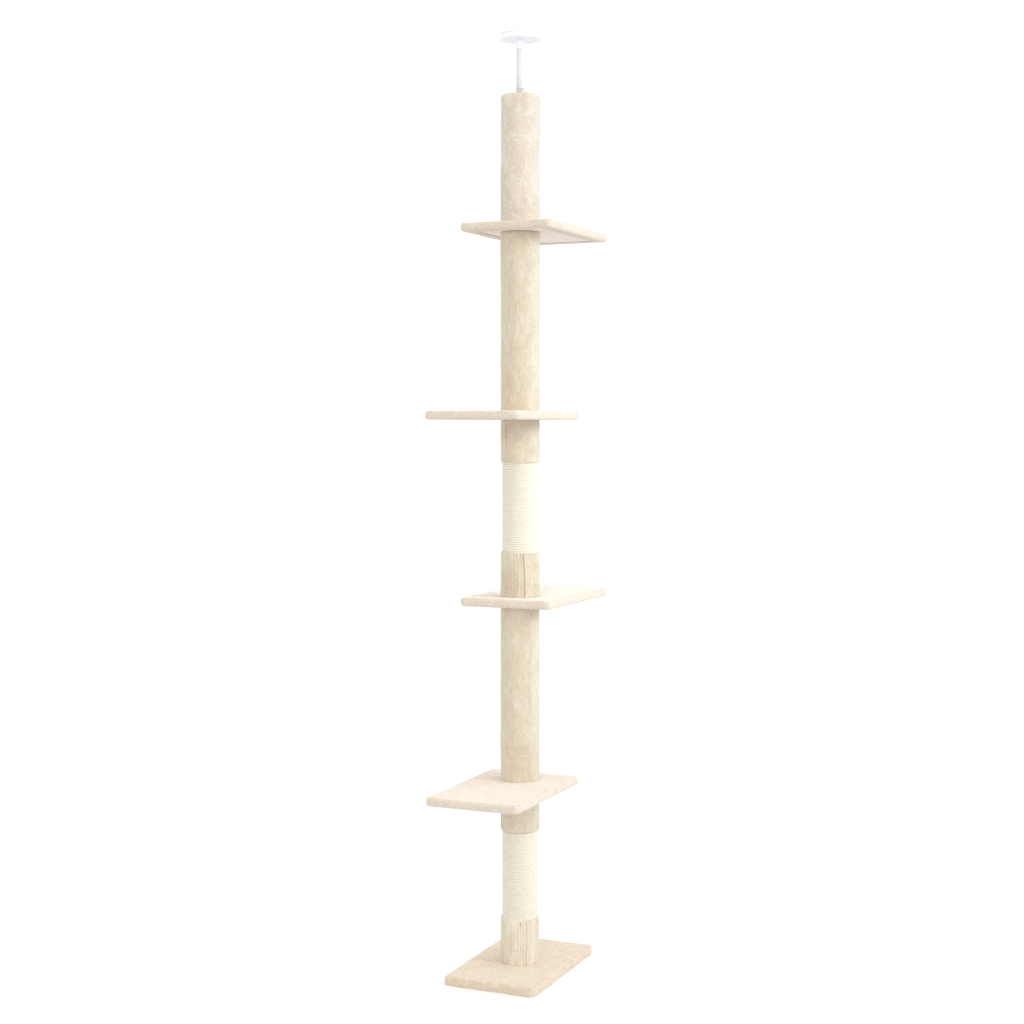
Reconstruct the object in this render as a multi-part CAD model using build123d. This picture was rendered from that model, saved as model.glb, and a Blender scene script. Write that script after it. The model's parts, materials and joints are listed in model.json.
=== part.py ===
"""Floor-to-ceiling cat tree: a weighted base board, five stacked round posts, four offset platforms
clamped between them, and a screw tensioner that presses a round plate against the ceiling.

Frame: origin at the centre of the base's underside, on the axis of the posts. +Z is up, and +Y runs
along the long side of the boards. Millimetres. Every sub-part is written to parts/NODE.step.
"""

import os

from build123d import *

# ---------------------------------------------------------------- driving dimensions

# Boards: the base and the four platforms are the same covered board
BOARD_LENGTH = 400.0  # along Y, over the plush
BOARD_WIDTH = 250.0  # along X, over the plush
CORE_THICKNESS = 16.0  # chipboard
PLUSH_ON_BOARD = 3.0
LINER_THICKNESS = 1.0
BOARD_CORNER_RADIUS = 15.0
BOARD_EDGE_RADIUS = 8.0
FOLD_WIDTH = 34.0  # plush folded under the board and stapled
PLATFORM_OFFSET = 100.0  # board centre to post axis, to -Y and +Y by turns
PLATFORM_COUNT = 4

# Posts
TUBE_LENGTH = 450.0
TOP_TUBE_LENGTH = 320.0
TUBE_RADIUS = 40.0
TUBE_WALL = 3.0
PLUSH_POST_RADIUS = 50.0
ROPE_DIAMETER = 6.0
ROPE_TURNS = 38
TURN_GAP = 0.001  # keeps the rings of the winding from touching along a line
LOWER_SLEEVE_LENGTH = 114.0
SISAL_POSTS = (1, 3)
SLEEVE_EDGE_RADIUS = 3.0
TOP_EDGE_RADIUS = 9.0
PLUSH_ROUND_CAP = 2.0  # how far the top post's plush stands above its tube, round the cap
GLUE_GAP = 0.1  # radial room between a tube and what is pushed into or over it

# End plugs of the posts
PLUG_DEPTH = 20.0
PLUG_FLANGE = 1.0
TOP_CAP_FLANGE = 2.5
TOP_CAP_RADIUS = 40.0
TOP_CAP_DEPTH = 30.0

# M10 fasteners that hold the stack together
STUD_RADIUS = 4.9
STUD_REACH = 28.0  # how far a stud enters each post
STUD_HOLE_RADIUS = 5.5
STUD_END_CHAMFER = 0.8
TEE_BARREL_RADIUS = 6.5
TEE_BARREL_LENGTH = 12.0
TEE_POCKET_DEPTH = 13.0
TEE_FLANGE_RADIUS = 13.0
TEE_FLANGE_THICKNESS = 1.5
THREAD_GAP = 0.1
BOLT_HEAD_ACROSS_FLATS = 17.0
BOLT_HEAD_HEIGHT = 6.4
WASHER_RADIUS = 10.0
WASHER_THICKNESS = 2.0
WASHER_ROOM = 0.4  # radial, round the bolt
RECESS_RADIUS = 13.0
RECESS_DEPTH = 9.0

# Staples
STAPLE_CROWN = 10.0
STAPLE_LEG = 6.0
STAPLE_WIRE = 0.9
STAPLE_SUNK = 0.6  # crown below the surface of the pile
STAPLES_LONG_SIDE = 6
STAPLES_SHORT_SIDE = 3
STAPLE_INSET = 22.1  # from the board's edge to its rows of staples
SHORT_ROW_SHARE = 0.8  # of the space between the hems that a short row takes up
STAPLES_ROUND_POST = 5
STAPLE_TURN = 68.0  # degrees from one staple of a ring to the next
LOWER_RING_TURN = -133.0  # where the ring below the rope starts
UPPER_RING_TURN = -123.0  # where the ring above the rope starts
STAPLE_PULL = 1.2  # how far a staple draws the thicker pile of a sleeve in

# Ceiling tensioner: a fixed M12 spindle, a nut on it, and a tube that the nut lifts
SPINDLE_RADIUS = 5.9
SPINDLE_BELOW_CAP = 45.0
SPINDLE_ABOVE_CAP = 131.0
SPINDLE_END_CHAMFER = 1.0
SPINDLE_TEE_BARREL_RADIUS = 7.5
SPINDLE_TEE_FLANGE_RADIUS = 15.0
SEAT_RING_RADIUS = 10.5
SEAT_RING_THICKNESS = 4.0
NUT_ACROSS_FLATS = 19.0
NUT_HEIGHT = 11.0
NUT_CHAMFER = 1.2
TENSION_TUBE_RADIUS = 10.0
TENSION_TUBE_WALL = 1.5
TENSION_TUBE_LENGTH = 122.0
BUSH_LENGTH = 14.0
BUSH_BORE_RADIUS = 6.2
PLATE_RADIUS = 50.0
PLATE_HEIGHT = 12.0
PLATE_FLOOR = 3.0
PLATE_RIM = 3.0
PLATE_EDGE_RADIUS = 2.0
PLATE_RIBS = 6
PLATE_RIB_THICKNESS = 2.0
HUB_RADIUS = 14.0
SOCKET_RADIUS = 11.6
SOCKET_LENGTH = 22.0
PAD_THICKNESS = 2.0
PAD_INSET = 1.0

# ---------------------------------------------------------------- places worked out from them

BOARD_THICKNESS = CORE_THICKNESS + 2 * PLUSH_ON_BOARD
LINER_RISE = PLUSH_ON_BOARD - LINER_THICKNESS  # liner's underside above the board's lowest face
POST_LENGTH = TUBE_LENGTH + 2 * PLUG_FLANGE
STEP = POST_LENGTH + BOARD_THICKNESS - LINER_RISE  # one platform to the next
SISAL_LENGTH = ROPE_TURNS * ROPE_DIAMETER
SISAL_RADIUS = TUBE_RADIUS + ROPE_DIAMETER


def board_bottom(level):
    """Height of the underside of a board: level 0 is the base, 1 to 4 are the platforms."""
    return level * STEP


def post_bottom(number):
    """Height of the foot of post 1 to 5. Post n stands on board n - 1."""
    return board_bottom(number - 1) + BOARD_THICKNESS


TOP_TUBE_TOP = post_bottom(5) + PLUG_FLANGE + TOP_TUBE_LENGTH
CAP_TOP = TOP_TUBE_TOP + TOP_CAP_FLANGE
CAP_BOTTOM = TOP_TUBE_TOP - TOP_CAP_DEPTH
NUT_BOTTOM = CAP_TOP + SEAT_RING_THICKNESS
TENSION_TUBE_BOTTOM = NUT_BOTTOM + NUT_HEIGHT
PLATE_BOTTOM = TENSION_TUBE_BOTTOM + TENSION_TUBE_LENGTH
PLATE_TOP = PLATE_BOTTOM + PLATE_HEIGHT


# ---------------------------------------------------------------- helpers


def rod(radius, bottom, top, x=0.0, y=0.0):
    """Upright cylinder between two heights."""
    return Pos(x, y, (bottom + top) / 2) * Cylinder(radius, top - bottom)


def ring(outer, inner, bottom, top):
    """Upright tube between two heights, on the axis of the posts."""
    return rod(outer, bottom, top) - rod(inner, bottom - 1, top + 1)


def slab(width, length, bottom, top, corner):
    """Board-shaped block with rounded upright corners, centred on the axis."""
    block = Pos(0, 0, (bottom + top) / 2) * Box(width, length, top - bottom)
    return fillet(block.edges().filter_by(Axis.Z), corner)


def hexagon(across_flats, bottom, top):
    """Upright hexagonal prism with one flat facing +Y."""
    outline = RegularPolygon(across_flats / 2, 6, major_radius=False, rotation=30)
    return extrude(Pos(0, 0, bottom) * outline, top - bottom)


def board_centre_y(level):
    """Platforms 1 and 3 reach out to -Y, and 2 and 4 to +Y. The base is centred."""
    if level == 0:
        return 0.0
    return -PLATFORM_OFFSET if level % 2 else PLATFORM_OFFSET


# ---------------------------------------------------------------- boards


def board_core(level):
    """Chipboard, with the stud hole on the axis, and a bolt recess under the base."""
    low = board_bottom(level) + PLUSH_ON_BOARD
    core = slab(
        BOARD_WIDTH - 2 * PLUSH_ON_BOARD,
        BOARD_LENGTH - 2 * PLUSH_ON_BOARD,
        low,
        low + CORE_THICKNESS,
        BOARD_CORNER_RADIUS - PLUSH_ON_BOARD,
    )
    core = Pos(0, board_centre_y(level), 0) * core
    core -= rod(STUD_HOLE_RADIUS, low - 1, low + CORE_THICKNESS + 1)
    if level == 0:
        core -= rod(RECESS_RADIUS, low - 1, low + RECESS_DEPTH)
    return core


def board_cover(level):
    """Plush pulled over the top and sides of a board, with its hem folded under all round."""
    low = board_bottom(level)
    outer = slab(BOARD_WIDTH, BOARD_LENGTH, low, low + BOARD_THICKNESS, BOARD_CORNER_RADIUS)
    rims = outer.faces().filter_by(Axis.Z).edges()
    outer = fillet(rims, BOARD_EDGE_RADIUS)
    pocket = slab(
        BOARD_WIDTH - 2 * PLUSH_ON_BOARD,
        BOARD_LENGTH - 2 * PLUSH_ON_BOARD,
        low + PLUSH_ON_BOARD,
        low + PLUSH_ON_BOARD + CORE_THICKNESS,
        BOARD_CORNER_RADIUS - PLUSH_ON_BOARD,
    )
    window = Pos(0, 0, low) * Box(
        BOARD_WIDTH - 2 * FOLD_WIDTH, BOARD_LENGTH - 2 * FOLD_WIDTH, 4 * PLUSH_ON_BOARD
    )
    cover = Pos(0, board_centre_y(level), 0) * (outer - pocket - window)
    top = low + BOARD_THICKNESS
    return cover - rod(STUD_HOLE_RADIUS, top - 2 * PLUSH_ON_BOARD, top + 1)


def board_liner(level):
    """Thin felt glued to the underside, inside the folded hem."""
    low = board_bottom(level) + LINER_RISE
    liner = Pos(0, board_centre_y(level), low + LINER_THICKNESS / 2) * Box(
        BOARD_WIDTH - 2 * FOLD_WIDTH, BOARD_LENGTH - 2 * FOLD_WIDTH, LINER_THICKNESS
    )
    hole = RECESS_RADIUS if level == 0 else STUD_HOLE_RADIUS
    return liner - rod(hole, low - 1, low + LINER_THICKNESS + 1)


def staple():
    """Staple with its crown along X at the origin and its legs up +Z."""
    crown = Pos(0, 0, STAPLE_WIRE / 2) * Box(STAPLE_CROWN, STAPLE_WIRE, STAPLE_WIRE)
    reach = (STAPLE_CROWN - STAPLE_WIRE) / 2
    leg = Box(STAPLE_WIRE, STAPLE_WIRE, STAPLE_LEG)
    legs = [Pos(side * reach, 0, STAPLE_LEG / 2) * leg for side in (-1, 1)]
    return crown + legs[0] + legs[1]


def board_staples(level):
    """Staples through the folded hem, one row along each side."""
    one = staple()
    height = board_bottom(level) + STAPLE_SUNK
    placed = []
    for side in (-1, 1):
        x = side * (BOARD_WIDTH / 2 - STAPLE_INSET)
        pitch = (BOARD_LENGTH - 2 * FOLD_WIDTH) / (STAPLES_LONG_SIDE - 1)
        for k in range(STAPLES_LONG_SIDE):
            y = (k - (STAPLES_LONG_SIDE - 1) / 2) * pitch
            placed.append(Pos(x, y + board_centre_y(level), height) * Rot(0, 0, 90) * one)
        y = side * (BOARD_LENGTH / 2 - STAPLE_INSET) + board_centre_y(level)
        pitch = SHORT_ROW_SHARE * (BOARD_WIDTH - 2 * FOLD_WIDTH) / (STAPLES_SHORT_SIDE - 1)
        for k in range(STAPLES_SHORT_SIDE):
            x = (k - (STAPLES_SHORT_SIDE - 1) / 2) * pitch
            placed.append(Pos(x, y, height) * one)
    return Compound(children=placed)


# ---------------------------------------------------------------- posts


def post_tube(number):
    """Wound cardboard tube."""
    low = post_bottom(number) + PLUG_FLANGE
    length = TOP_TUBE_LENGTH if number == 5 else TUBE_LENGTH
    return ring(TUBE_RADIUS, TUBE_RADIUS - TUBE_WALL, low, low + length)


def end_plug(outer_face, inward):
    """Moulded plug in the end of a tube. inward is +1 where the tube goes up from outer_face."""
    bore = TUBE_RADIUS - TUBE_WALL - GLUE_GAP
    flange_inner = outer_face + inward * PLUG_FLANGE
    inner_face = outer_face + inward * (PLUG_FLANGE + PLUG_DEPTH)
    body = rod(TUBE_RADIUS, *sorted((outer_face, flange_inner)))
    body += rod(bore, *sorted((flange_inner, inner_face)))
    body -= rod(STUD_HOLE_RADIUS, *sorted((outer_face - inward, inner_face + inward)))
    pocket_end = inner_face - inward * TEE_POCKET_DEPTH
    return body - rod(TEE_BARREL_RADIUS + THREAD_GAP, *sorted((pocket_end, inner_face + inward)))


def tee_nut(seat, inward, thread_radius, barrel_radius, flange_radius):
    """Threaded tee nut, its flange on a plug's inner face and its barrel in the plug."""
    flange_face = seat + inward * TEE_FLANGE_THICKNESS
    barrel_end = seat - inward * TEE_BARREL_LENGTH
    nut = rod(flange_radius, *sorted((seat, flange_face)))
    nut += rod(barrel_radius, *sorted((seat, barrel_end)))
    hole = sorted((barrel_end - inward, flange_face + inward))
    return nut - rod(thread_radius + THREAD_GAP, *hole)


def outer_rim(sleeve, height):
    """The sleeve's outermost circle at a height."""
    circles = sleeve.edges().filter_by(GeomType.CIRCLE)
    widest = [e for e in circles if e.radius > PLUSH_POST_RADIUS - 1]
    return [e for e in widest if abs(e.center().Z - height) < 1]


def plush_sleeve(bottom, top, upper_edge_radius=SLEEVE_EDGE_RADIUS):
    """Plush tube round a post, its two rims softly rounded."""
    sleeve = ring(PLUSH_POST_RADIUS, TUBE_RADIUS + GLUE_GAP, bottom, top)
    sleeve = fillet(outer_rim(sleeve, bottom), SLEEVE_EDGE_RADIUS)
    return fillet(outer_rim(sleeve, top), upper_edge_radius)


def sisal_winding(bottom):
    """Sisal rope wound tight round the tube, each turn drawn as a ring."""
    rope = ROPE_DIAMETER / 2
    rope_circle_radius = SISAL_RADIUS - rope
    backing_inner = TUBE_RADIUS + GLUE_GAP
    backing_outer = rope_circle_radius + rope / 2  # joins the turns into one solid
    section = Pos((backing_inner + backing_outer) / 2, SISAL_LENGTH / 2) * Rectangle(
        backing_outer - backing_inner, SISAL_LENGTH
    )
    for turn in range(ROPE_TURNS):
        centre = rope + turn * ROPE_DIAMETER
        section += Pos(rope_circle_radius, centre) * Circle(rope - TURN_GAP)
    section &= Pos(backing_inner + ROPE_DIAMETER, SISAL_LENGTH / 2) * Rectangle(
        2 * ROPE_DIAMETER, SISAL_LENGTH
    )
    upright = Plane.XZ * section
    return Pos(0, 0, bottom) * revolve(upright, Axis.Z, 360)


def sleeve_staples():
    """Upright staples that hold the plush sleeves at each end of the sisal windings."""
    one = Rot(0, -90, 0) * staple()  # crown along Z, legs towards -X, at the +X side
    crown_radius = PLUSH_POST_RADIUS - STAPLE_PULL - STAPLE_SUNK
    half = STAPLE_CROWN / 2 + SLEEVE_EDGE_RADIUS
    placed = []
    for number in SISAL_POSTS:
        low = post_bottom(number) + LOWER_SLEEVE_LENGTH
        high = low + SISAL_LENGTH
        for height, first in ((low - half, LOWER_RING_TURN), (high + half, UPPER_RING_TURN)):
            for k in range(STAPLES_ROUND_POST):
                turn = Rot(0, 0, first + k * STAPLE_TURN)
                placed.append(turn * Pos(crown_radius, 0, height) * one)
    return Compound(children=placed)


# ---------------------------------------------------------------- fasteners of the stack


def connecting_studs():
    """Four M10 studs, one through each platform into the posts above and below."""
    studs = []
    for level in range(1, PLATFORM_COUNT + 1):
        low = board_bottom(level) + LINER_RISE - STUD_REACH
        high = board_bottom(level) + BOARD_THICKNESS + STUD_REACH
        stud = rod(STUD_RADIUS, low, high)
        studs.append(chamfer(stud.edges().filter_by(GeomType.CIRCLE), STUD_END_CHAMFER))
    return Compound(children=studs)


def base_bolt():
    """M10 hexagon bolt up through the base into post 1."""
    seat = PLUSH_ON_BOARD + RECESS_DEPTH - WASHER_THICKNESS
    head = hexagon(BOLT_HEAD_ACROSS_FLATS, seat - BOLT_HEAD_HEIGHT, seat)
    return head + rod(STUD_RADIUS, seat, BOARD_THICKNESS + STUD_REACH)


def base_bolt_washer():
    """Flat washer between the bolt's head and the base board."""
    top = PLUSH_ON_BOARD + RECESS_DEPTH
    return ring(WASHER_RADIUS, STUD_RADIUS + WASHER_ROOM, top - WASHER_THICKNESS, top)


def plug_faces():
    """(outer face, inward direction) of the nine end plugs, from the bottom up."""
    faces = []
    for number in range(1, 6):
        low = post_bottom(number)
        faces.append((low, 1))
        if number < 5:
            faces.append((low + POST_LENGTH, -1))
    return faces


def tee_nuts():
    """Nine M10 tee nuts, one in each end plug."""
    nuts = []
    for outer_face, inward in plug_faces():
        seat = outer_face + inward * (PLUG_FLANGE + PLUG_DEPTH)
        nuts.append(tee_nut(seat, inward, STUD_RADIUS, TEE_BARREL_RADIUS, TEE_FLANGE_RADIUS))
    return Compound(children=nuts)


# ---------------------------------------------------------------- ceiling tensioner


def top_cap():
    """Dark moulded cap on the top post, which holds the spindle."""
    cap = rod(TOP_CAP_RADIUS, TOP_TUBE_TOP, CAP_TOP)
    cap += rod(TUBE_RADIUS - TUBE_WALL - GLUE_GAP, CAP_BOTTOM, TOP_TUBE_TOP)
    cap -= rod(SPINDLE_RADIUS + THREAD_GAP, CAP_BOTTOM - 1, CAP_TOP + 1)
    pocket = SPINDLE_TEE_BARREL_RADIUS + THREAD_GAP
    return cap - rod(pocket, CAP_BOTTOM - 1, CAP_BOTTOM + TEE_POCKET_DEPTH)


def spindle_tee_nut():
    """M12 tee nut under the top cap, on the spindle."""
    return tee_nut(
        CAP_BOTTOM, -1, SPINDLE_RADIUS, SPINDLE_TEE_BARREL_RADIUS, SPINDLE_TEE_FLANGE_RADIUS
    )


def threaded_spindle():
    """M12 threaded rod fixed upright in the top cap."""
    spindle = rod(SPINDLE_RADIUS, CAP_TOP - SPINDLE_BELOW_CAP, CAP_TOP + SPINDLE_ABOVE_CAP)
    return chamfer(spindle.edges().filter_by(GeomType.CIRCLE), SPINDLE_END_CHAMFER)


def seat_ring():
    """Black rubber ring between the cap and the nut."""
    return ring(SEAT_RING_RADIUS, SPINDLE_RADIUS + THREAD_GAP, CAP_TOP, NUT_BOTTOM)


def adjusting_nut():
    """M12 hexagon nut that carries the tension tube, its corners chamfered."""
    nut = hexagon(NUT_ACROSS_FLATS, NUT_BOTTOM, TENSION_TUBE_BOTTOM)
    cone_radius = NUT_ACROSS_FLATS / 2 + NUT_CHAMFER
    turned = chamfer(
        rod(cone_radius, NUT_BOTTOM, TENSION_TUBE_BOTTOM).edges().filter_by(GeomType.CIRCLE),
        NUT_CHAMFER,
    )
    nut &= turned
    return nut - rod(SPINDLE_RADIUS + THREAD_GAP, NUT_BOTTOM - 1, TENSION_TUBE_BOTTOM + 1)


def tension_tube():
    """Smooth steel tube that slides on the spindle and carries the ceiling plate."""
    return ring(
        TENSION_TUBE_RADIUS,
        TENSION_TUBE_RADIUS - TENSION_TUBE_WALL,
        TENSION_TUBE_BOTTOM,
        PLATE_BOTTOM,
    )


def tube_guide_bush():
    """Plastic bush in the tube's lower end that keeps it centred on the spindle."""
    return ring(
        TENSION_TUBE_RADIUS - TENSION_TUBE_WALL - GLUE_GAP,
        BUSH_BORE_RADIUS,
        TENSION_TUBE_BOTTOM,
        TENSION_TUBE_BOTTOM + BUSH_LENGTH,
    )


def ceiling_plate():
    """Round moulded dish, ribbed inside, with a socket below for the tube."""
    disc = rod(PLATE_RADIUS, PLATE_BOTTOM, PLATE_TOP)
    disc = fillet(disc.edges().filter_by(GeomType.CIRCLE), PLATE_EDGE_RADIUS)
    floor_top = PLATE_BOTTOM + PLATE_FLOOR
    disc -= rod(PLATE_RADIUS - PLATE_RIM, floor_top, PLATE_TOP + 1)
    disc += rod(HUB_RADIUS, floor_top, PLATE_TOP)
    reach = PLATE_RADIUS - PLATE_RIM / 2 - HUB_RADIUS / 2
    rib = Pos(HUB_RADIUS / 2 + reach / 2, 0, (floor_top + PLATE_TOP) / 2) * Box(
        reach, PLATE_RIB_THICKNESS, PLATE_TOP - floor_top
    )
    for k in range(PLATE_RIBS):
        disc += Rot(0, 0, k * 360 / PLATE_RIBS) * rib
    socket_bottom = PLATE_BOTTOM - SOCKET_LENGTH
    socket = ring(
        SOCKET_RADIUS, TENSION_TUBE_RADIUS + GLUE_GAP, socket_bottom, PLATE_BOTTOM
    )
    return disc + socket


def ceiling_pad():
    """Round anti-slip foam pad glued on the plate."""
    return rod(PLATE_RADIUS - PAD_INSET, PLATE_TOP, PLATE_TOP + PAD_THICKNESS)


# ---------------------------------------------------------------- the list of sub-parts


def base_parts():
    return {
        "base_board": board_core(0),
        "base_plush_cover": board_cover(0),
        "base_underside_liner": board_liner(0),
        "base_staples": board_staples(0),
        "base_bolt": base_bolt(),
        "base_bolt_washer": base_bolt_washer(),
    }


def platform_parts(level):
    return {
        f"platform_{level}_board": board_core(level),
        f"platform_{level}_plush_cover": board_cover(level),
        f"platform_{level}_underside_liner": board_liner(level),
        f"platform_{level}_staples": board_staples(level),
    }


def post_parts(number):
    """Tube, plugs and covering of posts 1 to 4."""
    low = post_bottom(number)
    high = low + POST_LENGTH
    name = f"post_{number}"
    parts = {
        f"{name}_tube": post_tube(number),
        f"{name}_lower_plug": end_plug(low, 1),
        f"{name}_upper_plug": end_plug(high, -1),
    }
    if number in SISAL_POSTS:
        rope_low = low + LOWER_SLEEVE_LENGTH
        rope_high = rope_low + SISAL_LENGTH
        parts[f"{name}_lower_plush"] = plush_sleeve(low, rope_low)
        parts[f"{name}_sisal_rope"] = sisal_winding(rope_low)
        parts[f"{name}_upper_plush"] = plush_sleeve(rope_high, high)
    else:
        parts[f"{name}_plush_cover"] = plush_sleeve(low, high)
    return parts


def top_post_parts():
    return {
        "post_5_tube": post_tube(5),
        "post_5_lower_plug": end_plug(post_bottom(5), 1),
        "post_5_top_cap": top_cap(),
        "post_5_plush_cover": plush_sleeve(
            post_bottom(5), TOP_TUBE_TOP + PLUSH_ROUND_CAP, TOP_EDGE_RADIUS
        ),
    }


def shared_fasteners():
    return {
        "connecting_studs": connecting_studs(),
        "tee_nuts": tee_nuts(),
        "sleeve_staples": sleeve_staples(),
    }


def tensioner_parts():
    return {
        "spindle_tee_nut": spindle_tee_nut(),
        "threaded_spindle": threaded_spindle(),
        "seat_ring": seat_ring(),
        "adjusting_nut": adjusting_nut(),
        "tension_tube": tension_tube(),
        "tube_guide_bush": tube_guide_bush(),
        "ceiling_plate": ceiling_plate(),
        "ceiling_pad": ceiling_pad(),
    }


def main():
    parts = base_parts()
    for level in range(1, PLATFORM_COUNT + 1):
        parts.update(platform_parts(level))
        parts.update(post_parts(level))
    parts.update(top_post_parts())
    parts.update(shared_fasteners())
    parts.update(tensioner_parts())
    os.makedirs("parts", exist_ok=True)
    for name, shape in parts.items():
        export_step(shape, f"parts/{name}.step")
    print(len(parts), "sub-parts, overall height", PLATE_TOP + PAD_THICKNESS)


main()
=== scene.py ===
"""Looks of a floor-to-ceiling cat tree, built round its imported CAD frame. Metres, +Z up.

Plush covers and sleeves, the sisal windings and the threaded spindle are meshes made here, each
in place of its CAD solid. Every other CAD piece keeps its shape and gets a procedural material.
"""

import json
import math

import bpy
import numpy as np
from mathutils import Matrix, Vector


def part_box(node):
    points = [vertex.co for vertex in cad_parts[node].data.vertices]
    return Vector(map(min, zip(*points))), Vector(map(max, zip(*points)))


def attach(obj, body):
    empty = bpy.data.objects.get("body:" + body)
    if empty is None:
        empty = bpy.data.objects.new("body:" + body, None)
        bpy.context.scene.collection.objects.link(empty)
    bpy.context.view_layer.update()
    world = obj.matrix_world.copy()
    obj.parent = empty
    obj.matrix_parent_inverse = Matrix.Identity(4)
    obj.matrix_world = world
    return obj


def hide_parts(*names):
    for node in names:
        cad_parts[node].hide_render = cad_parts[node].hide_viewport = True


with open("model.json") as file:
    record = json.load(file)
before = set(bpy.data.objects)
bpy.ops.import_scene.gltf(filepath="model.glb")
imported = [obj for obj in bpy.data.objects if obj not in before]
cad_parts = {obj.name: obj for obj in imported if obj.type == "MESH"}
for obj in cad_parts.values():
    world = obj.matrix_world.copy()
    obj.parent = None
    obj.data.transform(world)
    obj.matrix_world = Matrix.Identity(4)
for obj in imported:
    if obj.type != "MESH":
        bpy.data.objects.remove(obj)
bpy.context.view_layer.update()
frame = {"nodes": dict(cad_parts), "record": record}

MM = 0.001
TAU = 2 * math.pi

# ---------------------------------------------------------------- sizes

# Camera, from the axis of the posts
CAMERA_DISTANCE = 4.400
CAMERA_HEIGHT = 1.405
CAMERA_AZIMUTH = math.radians(23.6)
CAMERA_DOWN = math.radians(2.91)
CAMERA_PAN_LEFT = math.radians(0.27)
CAMERA_LENS = 60.7

# Board covers
PLUSH = 3 * MM
INNER_SKIN = 0.97 * PLUSH
BOARD_CORNER = 15 * MM
SHARPEST_CORNER = 0.4 * MM
BOARD_EDGE = 8 * MM
BASE_FOOT_EDGE = 2.2 * MM
FOLD_WIDTH = 34 * MM
CUT_EDGE = FOLD_WIDTH - 0.5 * MM
STUD_HOLE = 5.5 * MM
OUTLINE_STEP = 2.1 * MM
CORNER_DENSITY = 1.6
TOP_ROWS = 78
TOP_ROW_CROWDING = 0.85
EDGE_ROWS = 9
SIDE_ROWS = 6
HEM_ROWS = 11

# Post sleeves
TUBE_RADIUS = 40.1 * MM
SLEEVE_RADIUS = 50 * MM
SLEEVE_RIM = 1.6 * MM
SLEEVE_RIM_UNDER_BOARD = 4 * MM
SLEEVE_TOP_RIM = 9 * MM
SLEEVE_AROUND = 300
SLEEVE_ROW = 2 * MM
LOWER_RIM_ROWS = 6
UPPER_RIM_ROWS = 8
RIBS_ROUND = 38
FOLDS_ROUND = 11

# Staples that hold the sleeves of posts 1 and 3 beside the rope
STAPLE_DIMPLE = 1.2 * MM
STAPLE_HALF_LENGTH = 4.5 * MM
STAPLES_ROUND = 5
STAPLE_STEP = math.radians(68.0)
STAPLE_FIRST_LOW = math.radians(-133.0)
STAPLE_FIRST_HIGH = math.radians(-123.0)
STAPLE_FROM_ROPE = 8 * MM

# Seam of each sleeve: its angle, the depth of its groove, and how far its two lips stand up
SEAMS = {
    "post_1_lower_plush": (-0.57, 0.9 * MM, 1.6 * MM),
    "post_1_upper_plush": (-2.4, 1.2 * MM, 0.7 * MM),
    "post_2_plush_cover": (-0.61, 0.1 * MM, 1.4 * MM),
    "post_3_lower_plush": (-0.98, 3.4 * MM, 0.9 * MM),
    "post_3_upper_plush": (-1.95, 2.4 * MM, 0.7 * MM),
    "post_4_plush_cover": (2.4, 1.6 * MM, 0.7 * MM),
    "post_5_plush_cover": (-2.2, 2.8 * MM, 1.2 * MM),
}

# Depth of the brushed ribs of the sleeves that have them
RIBS = {
    "post_1_lower_plush": 3.4 * MM,
    "post_1_upper_plush": 0.3 * MM,
    "post_3_lower_plush": 1.4 * MM,
    "post_3_upper_plush": 0.3 * MM,
}

# Sisal
ROPE_DIAMETER = 6 * MM
ROPE_PRESSED = (4.5 * MM, 7.4 * MM)
ROPE_TUCKED_TURNS = 1.3
ROPE_STRANDS = 3
ROPE_TWIST = 22 * MM
ROPE_STEPS_PER_TWIST = 12
STRAND_POINTS = 5
STRAND_VALLEY = 0.88

# Relief, as the (width, height) of each layer of noise
PILE = ((8 * MM, 0.3 * MM), (4 * MM, 0.34 * MM))
LUMPS = ((55 * MM, 0.45 * MM), (21 * MM, 0.25 * MM))
PUCKERS = ((38 * MM, 0.75 * MM), (14 * MM, 0.4 * MM))
EDGE_WAVES = ((48 * MM, 0.5 * MM), (17 * MM, 0.25 * MM))
FRAY = ((12 * MM, 0.5 * MM), (3 * MM, 0.3 * MM))
SLEEVE_LUMPS = (
    (70 * MM, 0.6 * MM), (26 * MM, 0.45 * MM), (9 * MM, 0.34 * MM), (4 * MM, 0.3 * MM)
)
ROPE_UNEVEN = ((45 * MM, 0.22 * MM), (12 * MM, 0.14 * MM))
ROPE_WANDER = ((60 * MM, 0.35 * MM), (14 * MM, 0.16 * MM))

# Spindle thread
THREAD_PITCH = 1.75 * MM
THREAD_DEPTH = 1.0 * MM
THREAD_AROUND = 32
THREAD_ROWS_PER_PITCH = 8
THREAD_CHAMFER = 1.2 * MM

# Stage
FLOOR_HALF_SIZE = 30.0
WORLD_STRENGTH = 1.11


# ---------------------------------------------------------------- noise


def lattice(i, j, k, seed):
    """Repeatable random values from -1 to 1 at whole-number lattice points."""
    n = i * 73856093 ^ j * 19349663 ^ k * 83492791 ^ seed * 15485863
    n = (n ^ (n >> 13)) & 0x7FFFFFFF
    n = (n * (n * n % 2147483647 * 15731 % 2147483647 + 789221) + 1376312589) & 0x7FFFFFFF
    return n / 1073741823.5 - 1.0


def noise(points, scale, seed):
    """Smooth noise from -1 to 1 with features about scale metres wide. scale may be (x, y, z)."""
    p = points / np.asarray(scale, float) + 1000.0
    low = np.floor(p).astype(np.int64)
    f = p - low
    f = f * f * f * (f * (f * 6 - 15) + 10)
    total = np.zeros(len(points))
    for a in (0, 1):
        for b in (0, 1):
            for c in (0, 1):
                weight = (
                    (f[:, 0] if a else 1 - f[:, 0])
                    * (f[:, 1] if b else 1 - f[:, 1])
                    * (f[:, 2] if c else 1 - f[:, 2])
                )
                total += weight * lattice(low[:, 0] + a, low[:, 1] + b, low[:, 2] + c, seed)
    return total


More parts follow.
